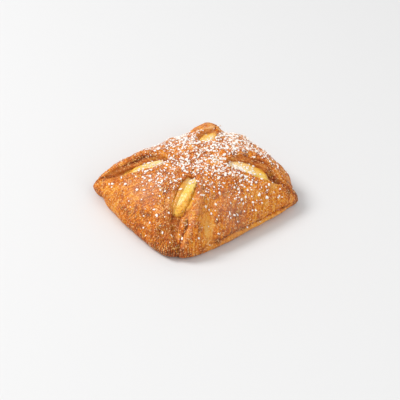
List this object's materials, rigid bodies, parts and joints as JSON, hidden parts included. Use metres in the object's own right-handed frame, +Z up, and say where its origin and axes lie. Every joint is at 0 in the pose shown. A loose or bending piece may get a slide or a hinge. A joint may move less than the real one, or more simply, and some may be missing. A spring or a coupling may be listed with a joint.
{
  "type": "quark pastry",
  "caption": "Square pastry folded envelope-fashion from flaky dough, with a slit along each diagonal that shows a soft yellow filling, and lumps of sugar on the crust.",
  "frame": {"origin": "on the table, under the middle of the pastry's outline", "axes": "+X along the longer side of the outline, from the corner nearest the camera to the right corner; +Y along the shorter side, from the nearest corner to the left corner; +Z up"},
  "size_m": [0.1326, 0.1131, 0.0426],
  "materials": {
    "crust": "baked laminated dough, golden to dark brown, slightly glossy, dusted with coarse white sugar",
    "filling": "baked quark filling, yellow, smooth and moist"
  },
  "bodies": {
    "root": {"crust": "crust", "filling": "filling"}
  },
  "joints": []
}
